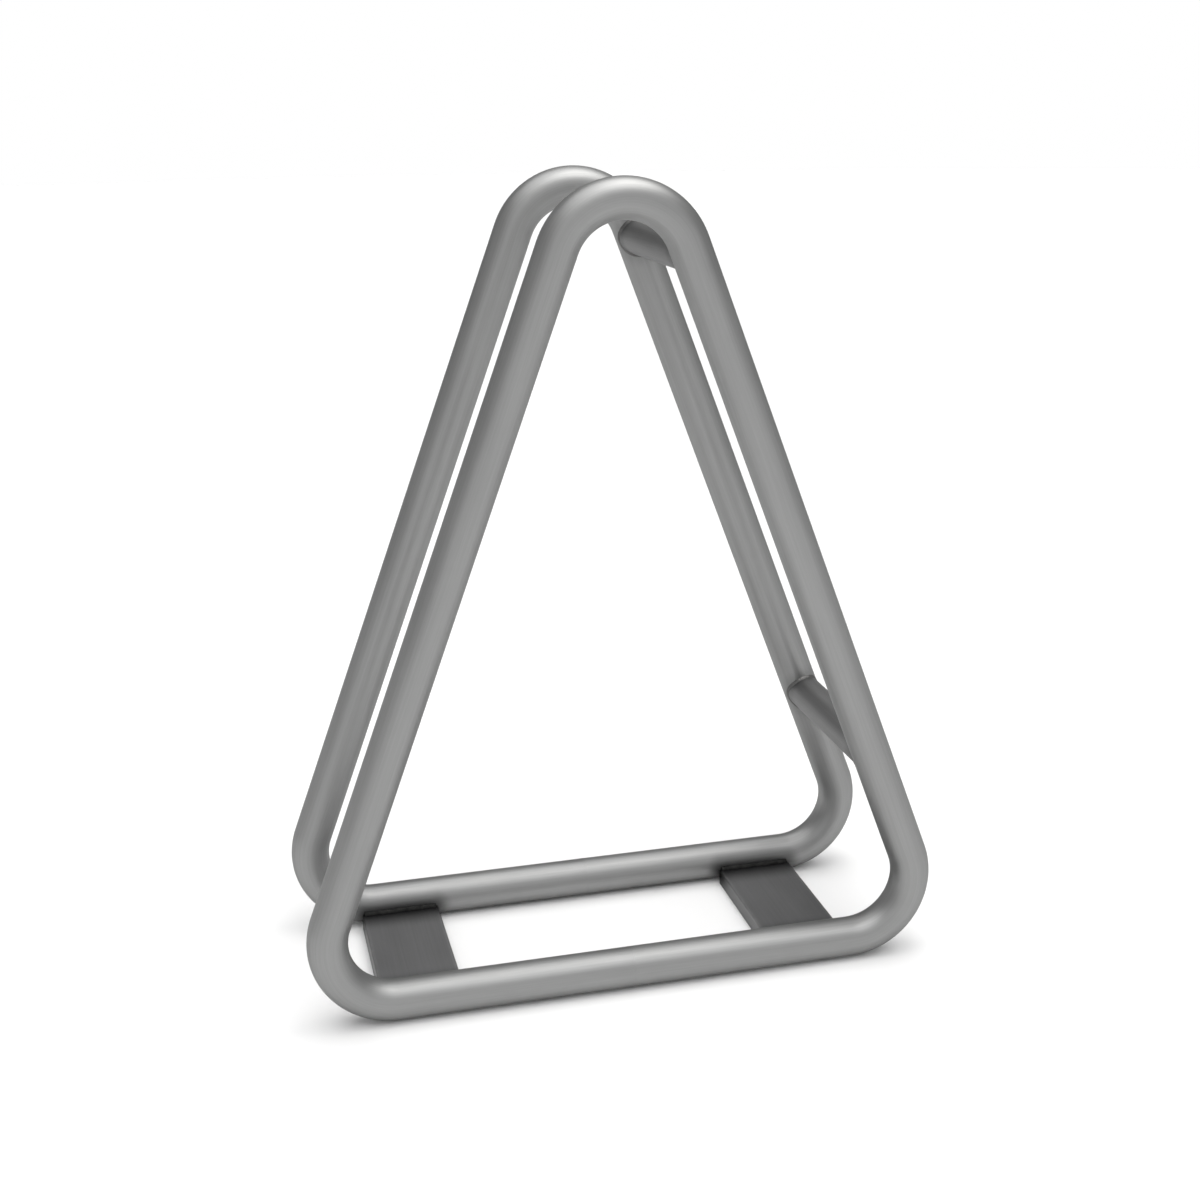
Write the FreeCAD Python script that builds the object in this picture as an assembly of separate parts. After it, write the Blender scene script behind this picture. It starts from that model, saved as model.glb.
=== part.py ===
import FreeCAD, Part
import math
import os

# Floor stand of two bent-tube triangles, in millimetres. X runs along the base, Y from the front loop to the
# rear loop and Z is up. The origin is on the floor, in the middle of the stand.

# Loops
TUBE_OD = 48.3
TUBE_WALL = 2.6
CORNER_SPAN = 800.0          # between the sharp bottom corners of a loop's centreline
CORNER_RISE = 1080.0         # from the bottom run's centreline up to the sharp top corner
BEND_RADIUS = 80.0           # on the centreline, the same in all three bends
LOOP_PITCH = 250.0           # between the two loops' planes

# Butt joint that closes each loop, in the middle of its bottom run
ROOT_GAP = 3.0
SLEEVE_LENGTH = 60.0
SLEEVE_WALL = 3.0
SLEEVE_CLEARANCE = 0.1       # on the radius

# Cross tubes between the right-hand legs
CROSS_OD = 44.5
CROSS_WALL = 2.6
CROSS_HEIGHTS = {"lower_cross": 266.0, "upper_cross": 890.0}
CROSS_WELD_RADIUS = 6.0
CROSS_WELD_REACH = 60.0      # length of leg and cross tube that the weld is worked out on

# Base bars, flat on the floor between the bottom runs
BAR_WIDTH = 100.0
BAR_THICKNESS = 20.0
BAR_CENTRES = {"left_bar": -254.0, "right_bar": 237.0}
BAR_EDGE_RADIUS = 2.0
BAR_ROOT_GAP = 0.3           # between a bar's end and the widest part of the tube
BAR_WELD_LEG = 5.0
BAR_WELD_SETBACK = 3.0       # from the bar's corner to the weld's end
GROOVE_FACE_HEIGHT = 9.0     # how far above the floor the weld under a bar stops

# Worked out from the above
TUBE_RADIUS = TUBE_OD / 2
BORE_RADIUS = TUBE_RADIUS - TUBE_WALL
SLEEVE_RADIUS = BORE_RADIUS - SLEEVE_CLEARANCE
CROSS_RADIUS = CROSS_OD / 2
BAR_END = LOOP_PITCH / 2 - TUBE_RADIUS - BAR_ROOT_GAP
LOOP_PLANES = {"front": -LOOP_PITCH / 2, "rear": LOOP_PITCH / 2}
LEFT_CORNER = FreeCAD.Vector(-CORNER_SPAN / 2, 0, TUBE_RADIUS)
RIGHT_CORNER = FreeCAD.Vector(CORNER_SPAN / 2, 0, TUBE_RADIUS)
TOP_CORNER = FreeCAD.Vector(0, 0, TUBE_RADIUS + CORNER_RISE)
BOTTOM_MIDDLE = (LEFT_CORNER + RIGHT_CORNER) / 2
X_AXIS = FreeCAD.Vector(1, 0, 0)
Y_AXIS = FreeCAD.Vector(0, 1, 0)


def unit(vector):
    return vector / vector.Length


def ring_face(centre, direction, outer_radius, inner_radius):
    circles = [Part.Circle(centre, direction, radius) for radius in (outer_radius, inner_radius)]
    return Part.makeFace([Part.Wire(circle.toShape()) for circle in circles], "Part::FaceMakerBullseye")


def straight_tube(start, end):
    return ring_face(start, end - start, TUBE_RADIUS, BORE_RADIUS).extrude(end - start)


def tube_bend(start, arriving, leaving):
    """Tube bent in the XZ plane from one direction to the next, with its inside on the left."""
    turn = math.degrees(arriving.getAngle(leaving))
    centre = start + Y_AXIS.cross(arriving) * -BEND_RADIUS
    return ring_face(start, arriving, TUBE_RADIUS, BORE_RADIUS).revolve(centre, Y_AXIS * -1, turn)


def loop_tube():
    """One bent tube: right, up to the top, down to the left and back, with both ends at the root gap."""
    corners = [RIGHT_CORNER, TOP_CORNER, LEFT_CORNER]
    half_gap = X_AXIS * (ROOT_GAP / 2)
    last_end = BOTTOM_MIDDLE - half_gap
    here = BOTTOM_MIDDLE + half_gap
    pieces = []
    for corner, following in zip(corners, corners[1:] + [last_end]):
        arriving = unit(corner - here)
        leaving = unit(following - corner)
        setback = BEND_RADIUS * math.tan(arriving.getAngle(leaving) / 2)
        bend_start = corner - arriving * setback
        pieces.append(straight_tube(here, bend_start))
        pieces.append(tube_bend(bend_start, arriving, leaving))
        here = corner + leaving * setback
    pieces.append(straight_tube(here, last_end))
    return pieces[0].multiFuse(pieces[1:]).removeSplitter().Solids[0]


def butt_weld():
    """Weld ring that fills the root gap down to the sleeve, ground flush with the tube."""
    face = ring_face(BOTTOM_MIDDLE - X_AXIS * (ROOT_GAP / 2), X_AXIS, TUBE_RADIUS, SLEEVE_RADIUS)
    return face.extrude(X_AXIS * ROOT_GAP)


def joint_sleeve():
    start = BOTTOM_MIDDLE - X_AXIS * (SLEEVE_LENGTH / 2)
    return ring_face(start, X_AXIS, SLEEVE_RADIUS, SLEEVE_RADIUS - SLEEVE_WALL).extrude(X_AXIS * SLEEVE_LENGTH)


def cross_centre(height):
    """Where the right leg's centreline, in the plane Y = 0, passes a height."""
    share = (height - RIGHT_CORNER.z) / (TOP_CORNER.z - RIGHT_CORNER.z)
    return RIGHT_CORNER + (TOP_CORNER - RIGHT_CORNER) * share


def leg_rod(centre, plane, reach):
    """Solid rod of the leg's outside, a length to each side of a centre."""
    along = unit(TOP_CORNER - RIGHT_CORNER)
    start = centre + Y_AXIS * plane - along * reach
    return Part.makeCylinder(TUBE_RADIUS, 2 * reach, start, along)


def cross_tube(height):
    """Tube between the two right legs, with its ends coped to the legs' outsides."""
    centre = cross_centre(height)
    start = centre + Y_AXIS * LOOP_PLANES["front"]
    tube = Part.makeCylinder(CROSS_RADIUS, LOOP_PITCH, start, Y_AXIS)
    tube = tube.cut(Part.makeCylinder(CROSS_RADIUS - CROSS_WALL, LOOP_PITCH, start, Y_AXIS))
    for plane in LOOP_PLANES.values():
        tube = tube.cut(leg_rod(centre, plane, CROSS_WELD_REACH))
    return tube.Solids[0]


def on_both_tubes(edge, centre, plane):
    """Whether an edge is where the outsides of the leg and the cross tube meet."""
    along = unit(TOP_CORNER - RIGHT_CORNER)
    for point in edge.discretize(5):
        from_cross = (point - centre).cross(Y_AXIS).Length
        from_leg = (point - centre - Y_AXIS * plane).cross(along).Length
        if abs(from_cross - CROSS_RADIUS) > 0.01 or abs(from_leg - TUBE_RADIUS) > 0.01:
            return False
    return True


def cross_weld(height, plane):
    """Fillet weld round a cross tube's end, where it meets the leg."""
    centre = cross_centre(height)
    inward = Y_AXIS * math.copysign(1, -plane)
    stub = Part.makeCylinder(CROSS_RADIUS, CROSS_WELD_REACH, centre + Y_AXIS * plane, inward)
    joint = leg_rod(centre, plane, CROSS_WELD_REACH).fuse(stub)
    seam = [edge for edge in joint.Edges if on_both_tubes(edge, centre, plane)]
    return joint.makeFillet(CROSS_WELD_RADIUS, seam).cut(joint).Solids[0]


def base_bar(middle_x):
    corner = FreeCAD.Vector(middle_x - BAR_WIDTH / 2, -BAR_END, 0)
    bar = Part.makeBox(BAR_WIDTH, 2 * BAR_END, BAR_THICKNESS, corner)
    top_edges = [edge for edge in bar.Edges
                 if edge.BoundBox.ZMin > BAR_THICKNESS - 1 and edge.BoundBox.YLength > BAR_END]
    return bar.makeFillet(BAR_EDGE_RADIUS, top_edges).Solids[0]


def bottom_rod(plane):
    """Solid rod of a bottom run's outside, as long as the base."""
    start = FreeCAD.Vector(-CORNER_SPAN / 2, plane, TUBE_RADIUS)
    return Part.makeCylinder(TUBE_RADIUS, CORNER_SPAN, start, X_AXIS)


def bar_weld(middle_x, plane, outline):
    """Weld along a bar's end: an outline of (distance from the stand's middle, height) run along the bar."""
    start_x = middle_x - BAR_WIDTH / 2 + BAR_WELD_SETBACK
    side = math.copysign(1, plane)
    points = [FreeCAD.Vector(start_x, side * out, height) for out, height in outline]
    face = Part.Face(Part.makePolygon(points + points[:1]))
    run = face.extrude(X_AXIS * (BAR_WIDTH - 2 * BAR_WELD_SETBACK))
    return run.cut(bottom_rod(plane)).Solids[0]


def top_weld(middle_x, plane):
    """Fillet weld on the bar's top face, up against the tube."""
    wall = LOOP_PITCH / 2
    outline = [(BAR_END - BAR_WELD_LEG, BAR_THICKNESS), (wall, BAR_THICKNESS),
               (wall, BAR_THICKNESS + BAR_WELD_LEG), (BAR_END + BAR_ROOT_GAP, BAR_THICKNESS + BAR_WELD_LEG)]
    return bar_weld(middle_x, plane, outline)


def groove_weld(middle_x, plane):
    """Weld that fills the groove between the bar's square end and the tube's underside."""
    wall = LOOP_PITCH / 2
    outline = [(BAR_END, GROOVE_FACE_HEIGHT), (wall, GROOVE_FACE_HEIGHT),
               (wall, BAR_THICKNESS), (BAR_END, BAR_THICKNESS)]
    return bar_weld(middle_x, plane, outline)


def nodes():
    """Every piece of the stand by name."""
    found = {}
    loop = loop_tube()
    for side, plane in LOOP_PLANES.items():
        shift = Y_AXIS * plane
        found[side + "_loop_tube"] = loop.translated(shift)
        found[side + "_butt_weld"] = butt_weld().translated(shift)
        found[side + "_joint_sleeve"] = joint_sleeve().translated(shift)
        for name, height in CROSS_HEIGHTS.items():
            found[name + "_" + side + "_weld"] = cross_weld(height, plane)
        for name, middle_x in BAR_CENTRES.items():
            found[name + "_" + side + "_weld"] = top_weld(middle_x, plane)
            found[name + "_" + side + "_root_weld"] = groove_weld(middle_x, plane)
    for name, height in CROSS_HEIGHTS.items():
        found[name + "_tube"] = cross_tube(height)
    for name, middle_x in BAR_CENTRES.items():
        found[name.replace("_bar", "_base_bar")] = base_bar(middle_x)
    return found


os.makedirs("parts", exist_ok=True)
for node, shape in nodes().items():
    box = shape.BoundBox
    print(node, shape.ShapeType, len(shape.Solids), "valid", shape.isValid(), "volume", round(shape.Volume),
          "z", round(box.ZMin, 2), round(box.ZMax, 2))
    shape.exportStep("parts/" + node + ".step")
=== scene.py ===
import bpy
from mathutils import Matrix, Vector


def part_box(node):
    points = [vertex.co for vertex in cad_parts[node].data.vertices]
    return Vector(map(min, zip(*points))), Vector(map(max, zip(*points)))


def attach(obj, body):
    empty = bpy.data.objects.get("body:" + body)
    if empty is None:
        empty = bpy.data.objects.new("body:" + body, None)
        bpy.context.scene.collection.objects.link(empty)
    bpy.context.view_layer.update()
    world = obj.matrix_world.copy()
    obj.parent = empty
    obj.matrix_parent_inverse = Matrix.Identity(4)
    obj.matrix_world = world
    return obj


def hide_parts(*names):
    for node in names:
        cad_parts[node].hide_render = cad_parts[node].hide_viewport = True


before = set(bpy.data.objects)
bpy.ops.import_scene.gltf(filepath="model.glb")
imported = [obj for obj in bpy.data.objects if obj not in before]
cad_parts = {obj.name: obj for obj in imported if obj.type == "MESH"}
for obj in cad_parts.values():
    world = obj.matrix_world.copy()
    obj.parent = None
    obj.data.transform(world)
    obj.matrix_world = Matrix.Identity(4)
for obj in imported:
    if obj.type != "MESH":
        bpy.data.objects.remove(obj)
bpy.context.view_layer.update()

import math

import bmesh
import bpy
import numpy as np
from mathutils import Matrix, Vector

# Floor stand of two bent-tube triangles. Lengths are in metres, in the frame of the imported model.

MM = 0.001
SIDES = ("front", "rear")
CROSSES = ("lower_cross", "upper_cross")
BARS = ("left_bar", "right_bar")

# Sizes that the frame's boxes don't give
BEND_RADIUS = 80 * MM        # on the centreline
TUBE_WALL = 2.6 * MM
ROOT_GAP = 3 * MM            # in the middle of each bottom run, filled by its butt weld

# How finely the tubes are drawn
TUBE_STEPS = 96
BEND_STEPS = 48

# Weld beads
CROSS_BEAD_LEG = 3 * MM
BAR_BEAD_LEG = 4.5 * MM
CROSS_BEAD_CROWN = 0.1 * MM
BAR_BEAD_CROWN = 0.4 * MM
BEAD_SINK = 0.4 * MM         # how far a bead's edges go into the metal
RIPPLE_PITCH = 2.6 * MM
RIPPLE_HEIGHT = 0.35 * MM
RIPPLE_LAG = 1.6 * MM        # how far a ripple's ends trail behind its middle
RIPPLE_BLUNTNESS = 0.7       # under 1 makes the ripples fuller and the valleys between them sharper
SLOW_WAVE = 20 * MM          # lengths of the two waves of unevenness along a bead
QUICK_WAVE = 8 * MM
QUICK_SHARE = 0.5            # the quicker wave's height, against the slow one's
LEG_UNEVENNESS = 0.07
CROWN_UNEVENNESS = 0.15
RIPPLE_UNEVENNESS = 0.3      # of the pitch
LEG_SEED = 3                 # sets a bead's leg wandering apart from its crown
END_SHARE = 1 / 30           # part of an open bead over which each end rises
SADDLE_STRETCH = 1.15        # a seam round a cross tube, against the tube's plain outline
BEAD_STEP = 0.4 * MM         # between stations along a bead
BEAD_ACROSS = 8              # facets from one edge of a bead to the other


def node_box(node):
    low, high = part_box(node)
    return Vector(low), Vector(high)


LOOP_LOW, LOOP_HIGH = node_box("front_loop_tube")
TUBE_RADIUS = (LOOP_HIGH.y - LOOP_LOW.y) / 2
PLANES = {side: sum(corner.y for corner in node_box(side + "_loop_tube")) / 2 for side in SIDES}
CROSS_RADIUS = (node_box("lower_cross_tube")[1].x - node_box("lower_cross_tube")[0].x) / 2

# Middles of the three bends, as (x, z), in the order that the tube passes them
REACH = TUBE_RADIUS + BEND_RADIUS
BEND_MIDDLES = [Vector((LOOP_HIGH.x - REACH, REACH)), Vector((0, LOOP_HIGH.z - REACH)),
                Vector((LOOP_LOW.x + REACH, REACH))]


# Meshes

def turn_outward(mesh):
    """Turns the faces of a closed mesh outward where they all face inward."""
    shape = bmesh.new()
    shape.from_mesh(mesh)
    if shape.calc_volume(signed=True) < 0:
        mesh.flip_normals()
    shape.free()


def new_piece(name, points, faces, material, run=None):
    """A mesh object. run gives each point's place on the straightened tube, for the grain."""
    mesh = bpy.data.meshes.new(name)
    mesh.from_pydata([tuple(point) for point in points], [], faces)
    mesh.validate()
    turn_outward(mesh)
    mesh.polygons.foreach_set("use_smooth", [True] * len(mesh.polygons))
    if run is not None:
        attribute = mesh.attributes.new("run", "FLOAT_VECTOR", "POINT")
        attribute.data.foreach_set("vector", np.asarray(run, np.float32).ravel())
    mesh.materials.append(material)
    piece = bpy.data.objects.new(name, mesh)
    bpy.context.scene.collection.objects.link(piece)
    return piece


def band(rows, across, offset=0, flip=False):
    """Faces between neighbouring rings of the same number of points."""
    faces = []
    for row in range(rows - 1):
        for column in range(across):
            after = (column + 1) % across
            here = offset + row * across
            face = (here + column, here + after, here + across + after, here + across + column)
            faces.append(face[::-1] if flip else face)
    return faces


def sharpen(piece, edges):
    """Marks edges, given as pairs of point numbers, so that shading doesn't run across them."""
    wanted = {frozenset(edge) for edge in edges}
    for edge in piece.data.edges:
        if frozenset(edge.vertices) in wanted:
            edge.use_edge_sharp = True


def tube_piece(name, outer, inner, outer_run, inner_run, material):
    """Closed tube wall from rings of points on its outside and its bore."""
    rows, across, _ = outer.shape
    size = rows * across
    faces = band(rows, across) + band(rows, across, offset=size, flip=True)
    last = (rows - 1) * across
    rims = []
    for column in range(across):
        after = (column + 1) % across
        faces.append((after, column, size + column, size + after))
        faces.append((last + column, last + after, size + last + after, size + last + column))
        rims += [(start + column, start + after) for start in (0, last, size, size + last)]
    points = np.concatenate([outer.reshape(-1, 3), inner.reshape(-1, 3)])
    run = np.concatenate([outer_run.reshape(-1, 3), inner_run.reshape(-1, 3)])
    piece = new_piece(name, points, faces, material, run)
    sharpen(piece, rims)
    return piece


def loop_line():
    """Stations round a loop from one side of the root gap to the other.

    Each has its place as (x, z), its outward direction and its distance along the line.
    """
    stations = []
    first = Vector((ROOT_GAP / 2, TUBE_RADIUS))
    stations.append((first, Vector((0, -1))))
    befores = BEND_MIDDLES[-1:] + BEND_MIDDLES[:-1]
    afters = BEND_MIDDLES[1:] + BEND_MIDDLES[:1]
    for middle, before, after in zip(BEND_MIDDLES, befores, afters):
        normals = [Vector((step.y, -step.x)).normalized() for step in (middle - before, after - middle)]
        turn = (-normals[0].angle_signed(normals[1])) % math.tau
        for step in range(BEND_STEPS + 1):
            angle = turn * step / BEND_STEPS
            outward = Matrix.Rotation(angle, 2) @ normals[0]
            stations.append((middle + outward * BEND_RADIUS, outward))
    stations.append((Vector((-ROOT_GAP / 2, TUBE_RADIUS)), Vector((0, -1))))
    travelled = 0
    line = []
    for number, (place, outward) in enumerate(stations):
        if number:
            travelled += (place - stations[number - 1][0]).length
        line.append((place, outward, travelled))
    return line


def loop_rings(plane, radius):
    """Points and runs of the rings round a loop's centreline."""
    angles = [math.tau * step / TUBE_STEPS for step in range(TUBE_STEPS)]
    rings, runs = [], []
    for place, outward, travelled in loop_line():
        ring, run = [], []
        for angle in angles:
            out = radius * math.cos(angle)
            side = radius * math.sin(angle)
            ring.append((place.x + outward.x * out, plane + side, place.y + outward.y * out))
            run.append((travelled, out, side))
        rings.append(ring)
        runs.append(run)
    return np.array(rings), np.array(runs)


def loop_tube(side, material):
    outer, outer_run = loop_rings(PLANES[side], TUBE_RADIUS)
    inner, inner_run = loop_rings(PLANES[side], TUBE_RADIUS - TUBE_WALL)
    piece = tube_piece(side + "_loop", outer, inner, outer_run, inner_run, material)
    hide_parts(side + "_loop_tube")
    return piece


def leg_direction():
    step = BEND_MIDDLES[1] - BEND_MIDDLES[0]
    return Vector((step.x, 0, step.y)).normalized()


LEG_ALONG = leg_direction()
LEG_ACROSS = Vector((LEG_ALONG.z, 0, -LEG_ALONG.x))
ALONG_Y = Vector((0, 1, 0))


def cross_middle(cross):
    low, high = node_box(cross + "_tube")
    return (low + high) / 2


def saddle_depth(across):
    """How far a loop tube's surface stands out, at a distance to one side of its centreline."""
    return math.sqrt(TUBE_RADIUS ** 2 - across ** 2)


def cross_rings(cross, radius):
    middle = cross_middle(cross)
    rings, runs = [], []
    for side, plane in PLANES.items():
        ring, run = [], []
        for step in range(TUBE_STEPS):
            angle = math.tau * step / TUBE_STEPS
            out = LEG_ACROSS * math.cos(angle) + LEG_ALONG * math.sin(angle)
            y = plane - math.copysign(saddle_depth(radius * math.cos(angle)), plane)
            point = middle + out * radius
            ring.append((point.x, y, point.z))
            run.append((y, radius * math.cos(angle), radius * math.sin(angle)))
        rings.append(ring)
        runs.append(run)
    return np.array(rings), np.array(runs)


def cross_tube(cross, material):
    outer, outer_run = cross_rings(cross, CROSS_RADIUS)
    inner, inner_run = cross_rings(cross, CROSS_RADIUS - TUBE_WALL)
    piece = tube_piece(cross, outer, inner, outer_run, inner_run, material)
    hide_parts(cross + "_tube")
    return piece


# Weld beads

def wander(distance, seed):
    """Small smooth change along a bead, between -1 and 1: a slow wave with a quicker one on it."""
    slow = math.sin(math.tau * distance / SLOW_WAVE + seed)
    quick = math.sin(math.tau * distance / QUICK_WAVE + 2 * seed)
    return (slow + quick * QUICK_SHARE) / (1 + QUICK_SHARE)


def bead_section(station, travelled, seed, crown, taper):
    """Closed section of a bead: crown from edge to edge, then back under the surface."""
    low_edge, high_edge, low_normal, high_normal, root = station
    crown_way = (low_normal + high_normal).normalized()
    height = crown * (1 + CROWN_UNEVENNESS * wander(travelled, seed))
    points = [low_edge - low_normal * BEAD_SINK]
    for step in range(BEAD_ACROSS + 1):
        share = step / BEAD_ACROSS
        fullness = 4 * share * (1 - share)
        phase = (travelled + RIPPLE_LAG * (1 - fullness)) / RIPPLE_PITCH
        phase += RIPPLE_UNEVENNESS * wander(travelled, seed)
        ripple = RIPPLE_HEIGHT * math.sin(math.pi * (phase % 1)) ** RIPPLE_BLUNTNESS
        rise = crown_way * (height + ripple) * fullness * taper
        points.append(low_edge.lerp(high_edge, share) + rise)
    points.append(high_edge - high_normal * BEAD_SINK)
    points.append(root - crown_way * BEAD_SINK)
    return points


def bead_piece(name, node, stations, crown, closed, material, seed):
    points, travelled = [], 0
    for number, station in enumerate(stations):
        if number:
            travelled += (station[4] - stations[number - 1][4]).length
        share = number / (len(stations) - 1)
        taper = 1 if closed else min(1, share / END_SHARE, (1 - share) / END_SHARE)
        section = bead_section(station, travelled, seed, crown, taper)
        across = len(section)
        points += section
    faces = band(len(stations), across)
    if closed:
        last = (len(stations) - 1) * across
        for column in range(across):
            after = (column + 1) % across
            faces.append((last + column, last + after, after, column))
    else:
        faces.append(tuple(range(across))[::-1])
        faces.append(tuple(len(points) - across + column for column in range(across)))
    piece = new_piece(name, points, faces, material)
    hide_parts(node)
    return piece


def cross_bead(cross, side, material, seed):
    """Bead round a cross tube's end, in the corner between the tube and the leg."""
    middle = cross_middle(cross)
    plane = PLANES[side]
    inward = ALONG_Y * math.copysign(1, -plane)
    leg_middle = Vector((middle.x, plane, middle.z))
    count = int(math.tau * CROSS_RADIUS * SADDLE_STRETCH / BEAD_STEP)
    stations = []
    for step in range(count):
        angle = math.tau * step / count
        leg = CROSS_BEAD_LEG * (1 + LEG_UNEVENNESS * wander(angle * CROSS_RADIUS, seed + LEG_SEED))
        tube_normal = LEG_ACROSS * math.cos(angle) + LEG_ALONG * math.sin(angle)
        across = CROSS_RADIUS * math.cos(angle)
        corner = leg_middle + tube_normal * CROSS_RADIUS + inward * saddle_depth(across)
        leg_normal = (LEG_ACROSS * across + inward * saddle_depth(across)) / TUBE_RADIUS
        seam = tube_normal.cross(leg_normal).normalized()
        outward = leg_normal.cross(seam)
        if outward.dot(tube_normal) < 0:
            outward = -outward
        # The bead's outer edge, brought back onto the leg's round surface
        on_leg = corner + outward * leg - leg_middle
        lengthwise = LEG_ALONG * on_leg.dot(LEG_ALONG)
        round_leg = (on_leg - lengthwise).normalized()
        on_leg = leg_middle + lengthwise + round_leg * TUBE_RADIUS
        stations.append((corner + inward * leg, on_leg, tube_normal, round_leg, corner))
    return bead_piece(f"{cross}_{side}_bead", f"{cross}_{side}_weld", stations, CROSS_BEAD_CROWN, True,
                      material, seed)


def bar_bead(bar, side, material, seed):
    """Bead along the top of a base bar's end, up against the bottom run."""
    low, high = node_box(f"{bar}_{side}_weld")
    plane = PLANES[side]
    inward = ALONG_Y * math.copysign(1, -plane)
    count = int((high.x - low.x) / BEAD_STEP)
    stations = []
    for step in range(count + 1):
        x = low.x + (high.x - low.x) * step / count
        leg = BAR_BEAD_LEG * (1 + LEG_UNEVENNESS * wander(x, seed + LEG_SEED))
        rise = low.z + leg - TUBE_RADIUS
        tube_middle = Vector((x, plane, TUBE_RADIUS))
        corner = Vector((x, plane, low.z)) + inward * saddle_depth(low.z - TUBE_RADIUS)
        on_tube = Vector((x, plane, low.z + leg)) + inward * saddle_depth(rise)
        on_bar = corner + inward * leg
        stations.append((on_bar, on_tube, Vector((0, 0, 1)), (on_tube - tube_middle).normalized(), corner))
    return bead_piece(f"{bar}_{side}_bead", f"{bar}_{side}_weld", stations, BAR_BEAD_CROWN, False,
                      material, seed)


# Materials

# Darkening painted near the welds, partly heat tint and partly painted contact shade: how far it reaches
# from a weld, and how dark it is at the weld
TUBE_TINT_AND_SHADE_AT_BARS = (26 * MM, 0.35)
TUBE_TINT_AND_SHADE_AT_CROSSES = (20 * MM, 0.8)
# on the bars this darkening is all painted contact shade, where the bottom runs shade the bars' ends
BAR_PAINTED_SHADE = (48 * MM, 0.2)

# Part of the light that the metals still give back at a glancing angle
EDGE_TINT = (0.58, 0.58, 0.58, 1)
# the low edge tint keeps the painted-shade welds dark at a glancing angle too
DARK_EDGE_TINT = (0.1, 0.1, 0.1, 1)

# Darkest and lightest tone of each metal
TUBE_TONES = ((0.273, 0.274, 0.273), (0.318, 0.32, 0.318))
# the cross tubes are the tubes' steel made darker: painted shade and painted dark reflection for the shade
# they stand in
SHADE_DARKENED_CROSS_TONES = ((0.21, 0.21, 0.21), (0.252, 0.252, 0.252))
BAR_TONES = ((0.222, 0.222, 0.224), (0.255, 0.255, 0.258))
RUBBED_TONE = (0.35, 0.35, 0.352)
# the bar and root welds are real, but are painted near black: painted shade for the dark joint under the
# bottom runs
PAINTED_SHADE_WELD_TONES = ((0.014, 0.014, 0.014), (0.026, 0.026, 0.025))
CLEAN_WELD_TONES = ((0.13, 0.129, 0.127), (0.17, 0.169, 0.166))
GROUND_WELD_TONES = ((0.268, 0.269, 0.268), (0.315, 0.316, 0.315))
INNER_TONES = ((0.28, 0.28, 0.285), (0.36, 0.36, 0.365))
FLOOR_TONES = ((0.89, 0.89, 0.89), (0.91, 0.91, 0.91))

# Roughness from the smoothest spots to the roughest
TUBE_ROUGHNESS = (0.41, 0.49)
BAR_ROUGHNESS = (0.32, 0.42)
WELD_ROUGHNESS = (0.45, 0.6)
GROUND_ROUGHNESS = (0.42, 0.51)
INNER_ROUGHNESS = (0.42, 0.58)
FLOOR_ROUGHNESS = (0.7, 0.8)
CLOUD_ROUGHNESS = (0, 0.05)  # added in broad patches of the brushed metals

# Marks per metre of the brushing, along it and across it
FINE_MARKS = (22, 2600)
STREAKS = (5, 420)
CLOUDS = (7, 24)
ALONG_RUN = 0                # the brushing's axis in the run of a tube
ALONG_BAR = 1                # and on the base bars

# Marks per metre of the other finishes
GRINDING = (2600, 40, 40)
WELD_PATCHES = (120, 120, 120)
WELD_SPECKS = (900, 900, 900)
INNER_PATCHES = (60, 60, 60)
FLOOR_PATCHES = (1.5, 1.5, 1.5)

# Wear along the base bars' top edges
WEAR_PATCHES = (300, 60, 300)
WEAR_SHARES = (0.2, 0.8)     # where it is faintest and strongest
WEAR_REACH = 6 * MM

# How strongly the marks show in the shading
MARK_DEPTH = 0.1 * MM
BRUSHED_RELIEF = 0.1
GROUND_RELIEF = 0.05
WELD_RELIEF = 0.2
INNER_RELIEF = 0.15
FLOOR_RELIEF = 0.1

# Blender's noise: how many finer layers it has, and between which values it usually stays
NOISE_DETAIL = 3
NOISE_USUAL = (0.3, 0.7)


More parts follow.
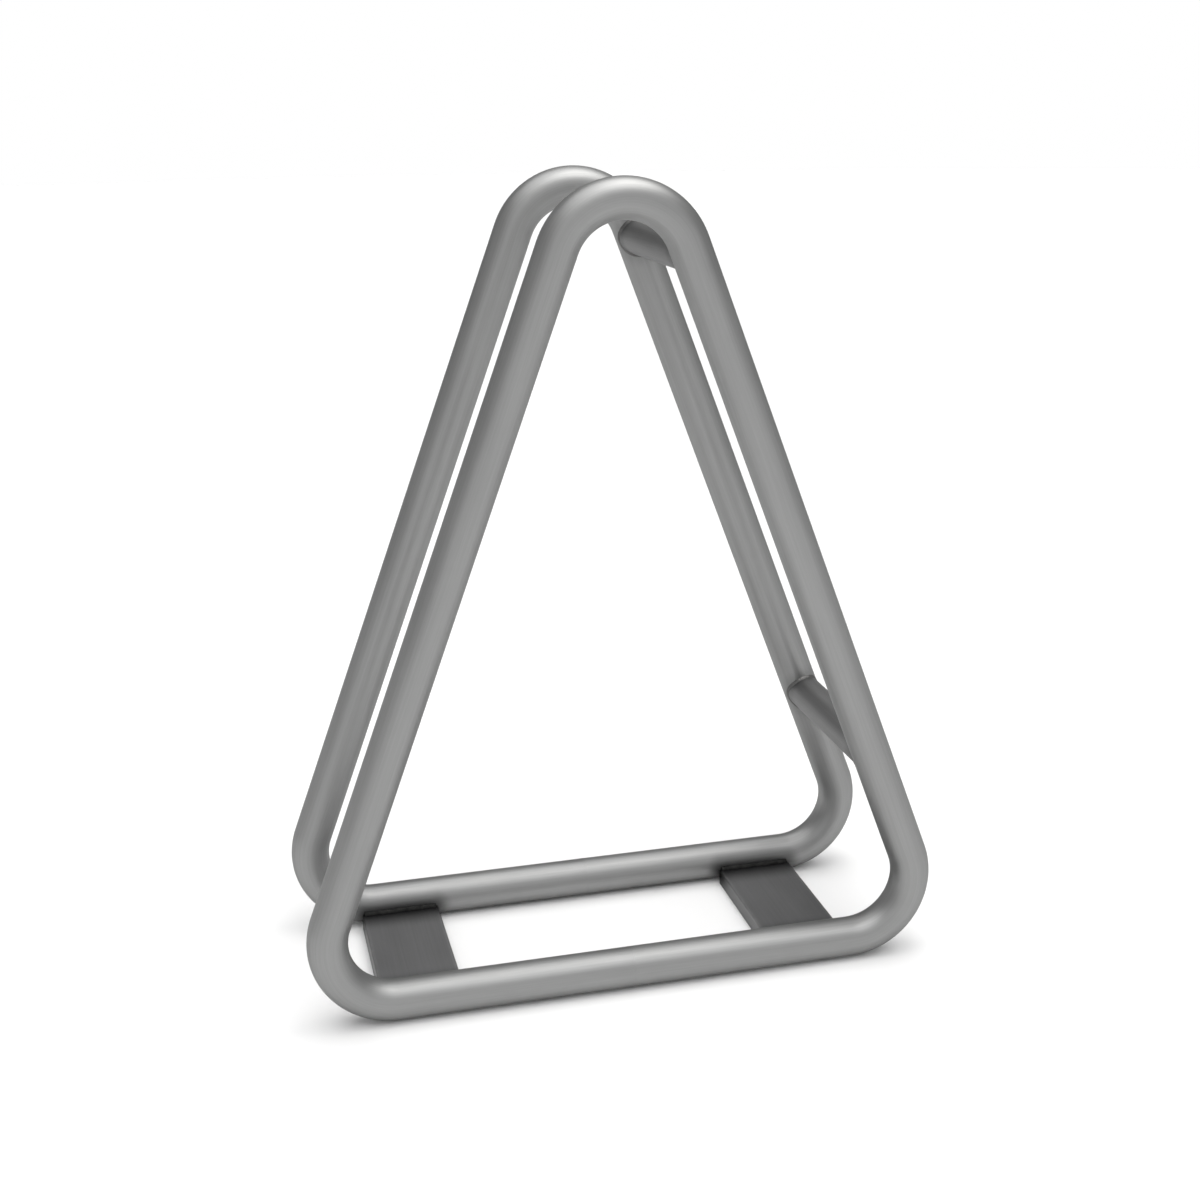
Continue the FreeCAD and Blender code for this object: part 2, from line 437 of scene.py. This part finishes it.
class Nodes:
    """The node tree of a new material or world, with short calls to add to it."""

    def __init__(self, owner):
        owner.use_nodes = True
        self.owner = owner
        self.tree = owner.node_tree

    def add(self, kind, inputs=None, **settings):
        node = self.tree.nodes.new("ShaderNode" + kind)
        for key, value in settings.items():
            setattr(node, key, value)
        for socket, value in (inputs or {}).items():
            if isinstance(value, bpy.types.NodeSocket):
                self.tree.links.new(value, node.inputs[socket])
            else:
                node.inputs[socket].default_value = value
        return node

    def math(self, operation, *values):
        return self.add("Math", dict(enumerate(values)), operation=operation).outputs[0]

    def length(self, *parts):
        total = self.math("POWER", parts[0], 2)
        for part in parts[1:]:
            total = self.math("ADD", total, self.math("POWER", part, 2))
        return self.math("SQRT", total)

    def place(self, kind="Object"):
        return self.add("TexCoord").outputs[kind]

    def parts(self, place):
        return self.add("SeparateXYZ", {0: place}).outputs

    def ramp(self, value, start, end, first, last):
        """Smooth change from a first to a last result, as a value goes from start to end."""
        inputs = {"Value": value, "From Min": start, "From Max": end, "To Min": first, "To Max": last}
        return self.add("MapRange", inputs, interpolation_type="SMOOTHSTEP").outputs[0]

    def grain(self, place, marks):
        """Noise from 0 to 1, with its own number of marks per metre along each direction."""
        mapped = self.add("Mapping", {"Vector": place, "Scale": marks}).outputs[0]
        return self.add("TexNoise", {"Vector": mapped, "Scale": 1, "Detail": NOISE_DETAIL}).outputs["Fac"]

    def spread(self, noise, low=0, high=1):
        """Noise spread from its usual values out to a low and a high one."""
        least, most = NOISE_USUAL
        inputs = {"Value": noise, "From Min": least, "From Max": most, "To Min": low, "To Max": high}
        return self.add("MapRange", inputs).outputs[0]

    def mix(self, share, first, second, way="MIX"):
        """Mixes two colours, each of them a socket or three numbers."""
        inputs = {"Factor": share}
        for socket, colour in (("A", first), ("B", second)):
            inputs[socket] = colour if isinstance(colour, bpy.types.NodeSocket) else (*colour, 1)
        return self.add("Mix", inputs, data_type="RGBA", blend_type=way).outputs["Result"]

    def bar_distances(self, parts, depth):
        """How far each point is from the welds at the base bars' ends."""
        distances = []
        for bar in BARS:
            low, high = node_box(f"{bar}_rear_weld")
            beyond = self.math("ABSOLUTE", self.math("SUBTRACT", parts["X"], (low.x + high.x) / 2))
            beyond = self.math("MAXIMUM", self.math("SUBTRACT", beyond, (high.x - low.x) / 2), 0)
            across = self.math("SUBTRACT", depth, high.y)
            above = self.math("SUBTRACT", parts["Z"], low.z)
            distances.append(self.length(beyond, across, above))
        return distances

    def cross_distances(self, parts, depth):
        """How far each point is from the welds round the cross tubes' ends."""
        distances = []
        for cross in CROSSES:
            middle = cross_middle(cross)
            aside = self.length(self.math("SUBTRACT", parts["X"], middle.x),
                                self.math("SUBTRACT", parts["Z"], middle.z))
            low, high = node_box(f"{cross}_rear_weld")
            outside = self.math("SUBTRACT", aside, CROSS_RADIUS)
            across = self.math("SUBTRACT", depth, (low.y + high.y) / 2)
            distances.append(self.length(outside, across))
        return distances

    def heat_tint_and_painted_shade(self, colour, at_bars, at_crosses=None):
        """Darkens a colour near the welds: partly heat tint, partly painted contact shade. Each darkening
        is a reach and the darkest share.
        """
        parts = self.parts(self.place())
        # The front and the rear mirror each other, so the rear's welds stand for both
        depth = self.math("ABSOLUTE", parts["Y"])
        tints_and_shades = [(at_bars, self.bar_distances(parts, depth))]
        if at_crosses:
            tints_and_shades.append((at_crosses, self.cross_distances(parts, depth)))
        for (reach, darkest), distances in tints_and_shades:
            share = self.ramp(self.math("MINIMUM", *distances), 0, reach, darkest, 1)
            shade = self.add("CombineColor", {"Red": share, "Green": share, "Blue": share}).outputs[0]
            colour = self.mix(1, colour, shade, way="MULTIPLY")
        return colour

    def worn(self, colour):
        """Lightens a colour along the base bars' long top edges, in a thin, uneven band."""
        place = self.place()
        parts = self.parts(place)
        distances = []
        for bar in BARS:
            low, high = node_box(bar.replace("_bar", "_base_bar"))
            aside = self.math("ABSOLUTE", self.math("SUBTRACT", parts["X"], (low.x + high.x) / 2))
            across = self.math("SUBTRACT", aside, (high.x - low.x) / 2)
            distances.append(self.length(across, self.math("SUBTRACT", parts["Z"], high.z)))
        near = self.ramp(self.math("MINIMUM", *distances), 0, WEAR_REACH, 1, 0)
        patchy = self.spread(self.grain(place, WEAR_PATCHES), *WEAR_SHARES)
        return self.mix(self.math("MULTIPLY", near, patchy), colour, RUBBED_TONE)

    def finish(self, colour, roughness, height, relief):
        shader = self.tree.nodes["Principled BSDF"]
        self.tree.links.new(colour, shader.inputs["Base Color"])
        self.tree.links.new(roughness, shader.inputs["Roughness"])
        bump = self.add("Bump", {"Height": height, "Strength": relief, "Distance": MARK_DEPTH})
        self.tree.links.new(bump.outputs[0], shader.inputs["Normal"])
        return self.owner


def metal_nodes(name, edge_tint=EDGE_TINT):
    """A new metal, to be finished."""
    nodes = Nodes(bpy.data.materials.new(name))
    shader = nodes.tree.nodes["Principled BSDF"]
    shader.inputs["Metallic"].default_value = 1
    shader.inputs["Specular Tint"].default_value = edge_tint
    return nodes


def brushed(nodes, place, along, tones, roughness):
    """Colour, roughness and relief of metal brushed along one axis of a place."""
    noises = []
    for lengthwise, crosswise in (FINE_MARKS, STREAKS, CLOUDS):
        marks = [crosswise] * 3
        marks[along] = lengthwise
        noises.append(nodes.grain(place, marks))
    fine, streaks, clouds = noises
    tone = nodes.math("MULTIPLY", nodes.math("ADD", streaks, clouds), 0.5)
    colour = nodes.mix(nodes.spread(tone), *tones)
    rough = nodes.math("ADD", nodes.spread(clouds, *CLOUD_ROUGHNESS), nodes.spread(fine, *roughness))
    return colour, rough, nodes.math("ADD", fine, streaks)


def tube_steel(name, tones):
    """Satin tube, brushed along its length, from each point's place on the straightened tube."""
    nodes = metal_nodes(name)
    run = nodes.add("Attribute", attribute_name="run").outputs["Vector"]
    colour, rough, height = brushed(nodes, run, ALONG_RUN, tones, TUBE_ROUGHNESS)
    # painted contact shade near the welds at the bars and the cross tubes, partly heat tint
    colour = nodes.heat_tint_and_painted_shade(colour, TUBE_TINT_AND_SHADE_AT_BARS, TUBE_TINT_AND_SHADE_AT_CROSSES)
    return nodes.finish(colour, rough, height, BRUSHED_RELIEF)


def bar_steel():
    """Flat bar, brushed along its length, with its long edges rubbed a little brighter."""
    nodes = metal_nodes("flat_bar_steel")
    colour, rough, height = brushed(nodes, nodes.place(), ALONG_BAR, BAR_TONES, BAR_ROUGHNESS)
    # painted contact shade on the bar ends, under the bottom runs
    colour = nodes.heat_tint_and_painted_shade(nodes.worn(colour), BAR_PAINTED_SHADE)
    return nodes.finish(colour, rough, height, BRUSHED_RELIEF)


def uneven_steel(name, patches, specks, tones, roughness, relief, edge_tint=EDGE_TINT):
    """Metal with patches in its colour, and specks or marks in its roughness and relief."""
    nodes = metal_nodes(name, edge_tint)
    place = nodes.place()
    colour = nodes.mix(nodes.spread(nodes.grain(place, patches)), *tones)
    noise = nodes.grain(place, specks)
    return nodes.finish(colour, nodes.spread(noise, *roughness), noise, relief)


def floor_paint():
    nodes = Nodes(bpy.data.materials.new("studio_floor"))
    clouds = nodes.grain(nodes.place(), FLOOR_PATCHES)
    colour = nodes.mix(nodes.spread(clouds), *FLOOR_TONES)
    return nodes.finish(colour, nodes.spread(clouds, *FLOOR_ROUGHNESS), clouds, FLOOR_RELIEF)


def backdrop_paint():
    """Even white, with no shading of its own."""
    nodes = Nodes(bpy.data.materials.new("studio_backdrop"))
    shader = nodes.tree.nodes["Principled BSDF"]
    shader.inputs["Base Color"].default_value = (0, 0, 0, 1)
    shader.inputs["Specular IOR Level"].default_value = 0
    shader.inputs["Emission Color"].default_value = (1, 1, 1, 1)
    shader.inputs["Emission Strength"].default_value = 1
    return nodes.owner


# Studio

# Surroundings, whose depth goes from -1 in front of the stand to 1 behind it
WORLD_FRONT = 0.905          # brightness in front
WORLD_BACK = 0.425           # and behind
FRONT_END = -0.6             # depth at which they begin to dim
BACK_START = 0.1             # and at which they are dimmest
SIDE_SHARE = 0.5             # how much the sides count as behind

# Lights
OVERHEAD_POWER = 2.2
OVERHEAD_WIDTH = 80          # degrees, as seen from the stand
OVERHEAD_WAY = (-0.05, 0.06, -1)
PANEL_PLACE = (0.4, -0.16, 2.2)
PANEL_WIDTH = 1.1
PANEL_POWER = 8.3
PANEL_COLOUR = (1, 0.98, 0.95)

# Radii of the floor and of the white half dome over it, and the facets round both
FLOOR_REACH = 20
BACKDROP_REACH = 19
STAGE_FACETS = 64


def stage_piece(name, built, material):
    mesh = bpy.data.meshes.new(name)
    built.to_mesh(mesh)
    built.free()
    mesh.materials.append(material)
    piece = bpy.data.objects.new(name, mesh)
    bpy.context.scene.collection.objects.link(piece)
    return piece


def studio_floor():
    """Round, flat, pale floor."""
    mesh = bmesh.new()
    bmesh.ops.create_circle(mesh, cap_ends=True, radius=FLOOR_REACH, segments=STAGE_FACETS)
    floor = stage_piece("studio_floor", mesh, floor_paint())


def studio_backdrop():
    """White surroundings that the camera sees. Light and reflections come from the world behind them."""
    mesh = bmesh.new()
    bmesh.ops.create_uvsphere(mesh, u_segments=STAGE_FACETS, v_segments=STAGE_FACETS // 2,
                              radius=BACKDROP_REACH)
    below = [vertex for vertex in mesh.verts if vertex.co.z < -MM]
    bmesh.ops.delete(mesh, geom=below, context="VERTS")
    backdrop = stage_piece("studio_backdrop", mesh, backdrop_paint())
    backdrop.visible_diffuse = False
    backdrop.visible_glossy = False
    backdrop.visible_shadow = False


def studio_world():
    """Soft surroundings: dim behind the stand and light in front of it, with its sides in between."""
    nodes = Nodes(bpy.data.worlds.new("studio"))
    bpy.context.scene.world = nodes.owner
    parts = nodes.parts(nodes.place("Generated"))
    sides = nodes.math("MULTIPLY", nodes.math("ABSOLUTE", parts["X"]), SIDE_SHARE)
    depth = nodes.math("ADD", parts["Y"], sides)
    background = nodes.tree.nodes["Background"]
    background.inputs["Color"].default_value = (1, 1, 1, 1)
    strength = nodes.ramp(depth, FRONT_END, BACK_START, WORLD_FRONT, WORLD_BACK)
    nodes.tree.links.new(strength, background.inputs["Strength"])


def studio_lights():
    """A large soft light overhead, and a small round panel close above the stand."""
    light = bpy.data.lights.new("overhead", "SUN")
    light.energy = OVERHEAD_POWER
    light.angle = math.radians(OVERHEAD_WIDTH)
    lamp = bpy.data.objects.new("overhead", light)
    lamp.rotation_euler = Vector(OVERHEAD_WAY).to_track_quat("-Z", "Y").to_euler()
    bpy.context.scene.collection.objects.link(lamp)

    light = bpy.data.lights.new("panel", "AREA")
    light.shape = "DISK"
    light.size = PANEL_WIDTH
    light.energy = PANEL_POWER
    light.color = PANEL_COLOUR
    lamp = bpy.data.objects.new("panel", light)
    lamp.location = PANEL_PLACE
    lamp.visible_camera = False
    bpy.context.scene.collection.objects.link(lamp)


# Camera: where it stands over the floor, how it is turned in radians, and its lens and sensor in mm
CAMERA_PLACE = Vector((-0.4713, -1.9254, 1.0770))
CAMERA_YAW = 0.240
CAMERA_PITCH = 0.244
CAMERA_ROLL = -0.014
CAMERA_LENS = 50.40
CAMERA_SENSOR = 36
CAMERA_SHIFT_Y = -0.0833
FARTHEST_SEEN = 100


def studio_camera():
    camera = bpy.data.cameras.new("camera")
    camera.sensor_width = CAMERA_SENSOR
    camera.lens = CAMERA_LENS
    camera.shift_y = CAMERA_SHIFT_Y
    camera.clip_end = FARTHEST_SEEN
    view = bpy.data.objects.new("camera", camera)
    heading = Matrix.Rotation(-CAMERA_YAW, 3, "Z")
    tilt = Matrix.Rotation(math.pi / 2 - CAMERA_PITCH, 3, "X")
    turn = heading @ tilt @ Matrix.Rotation(CAMERA_ROLL, 3, "Z")
    view.matrix_world = Matrix.Translation(CAMERA_PLACE) @ turn.to_4x4()
    bpy.context.scene.collection.objects.link(view)
    bpy.context.scene.camera = view


bpy.context.scene.view_settings.view_transform = "Standard"
studio_camera()
studio_world()
studio_lights()
studio_floor()
studio_backdrop()

tube_finish = tube_steel("satin_tube_steel", TUBE_TONES)
# cross tubes in a darker copy of the tube steel: painted shade
shade_darkened_cross_finish = tube_steel("shade_darkened_tube_steel", SHADE_DARKENED_CROSS_TONES)
# near-black weld: painted shade in the joints under the bottom runs
dark_weld = uneven_steel("dark_weld_metal", WELD_PATCHES, WELD_SPECKS, PAINTED_SHADE_WELD_TONES, WELD_ROUGHNESS,
                         WELD_RELIEF, DARK_EDGE_TINT)
clean_weld = uneven_steel("clean_weld_metal", WELD_PATCHES, WELD_SPECKS, CLEAN_WELD_TONES, WELD_ROUGHNESS,
                          WELD_RELIEF)
ground_weld = uneven_steel("ground_weld", GRINDING, GRINDING, GROUND_WELD_TONES, GROUND_ROUGHNESS,
                           GROUND_RELIEF)
inner_finish = uneven_steel("mill_steel", INNER_PATCHES, INNER_PATCHES, INNER_TONES, INNER_ROUGHNESS,
                            INNER_RELIEF)

made = []
for side in SIDES:
    made.append((loop_tube(side, tube_finish), "satin_steel"))
for cross in CROSSES:
    made.append((cross_tube(cross, shade_darkened_cross_finish), "dark_satin_steel"))
beads = [(cross_bead, cross, side, clean_weld, "weld_metal") for cross in CROSSES for side in SIDES]
# the bar welds get the near-black painted-shade weld
beads += [(bar_bead, bar, side, dark_weld, "dark_weld_metal") for bar in BARS for side in SIDES]
for seed, (bead, joined, side, finish, slot) in enumerate(beads):
    made.append((bead(joined, side, finish, seed), slot))
for piece, slot in made:
    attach(piece, "root")

# the root welds get the near-black painted-shade weld; the bars' finish has painted shade near its welds
NODE_FINISHES = {"base_bar": bar_steel(), "root_weld": dark_weld, "butt_weld": ground_weld,
                 "sleeve": inner_finish}
for node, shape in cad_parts.items():
    for ending, finish in NODE_FINISHES.items():
        if node.endswith(ending):
            for material_slot in shape.material_slots:
                material_slot.material = finish
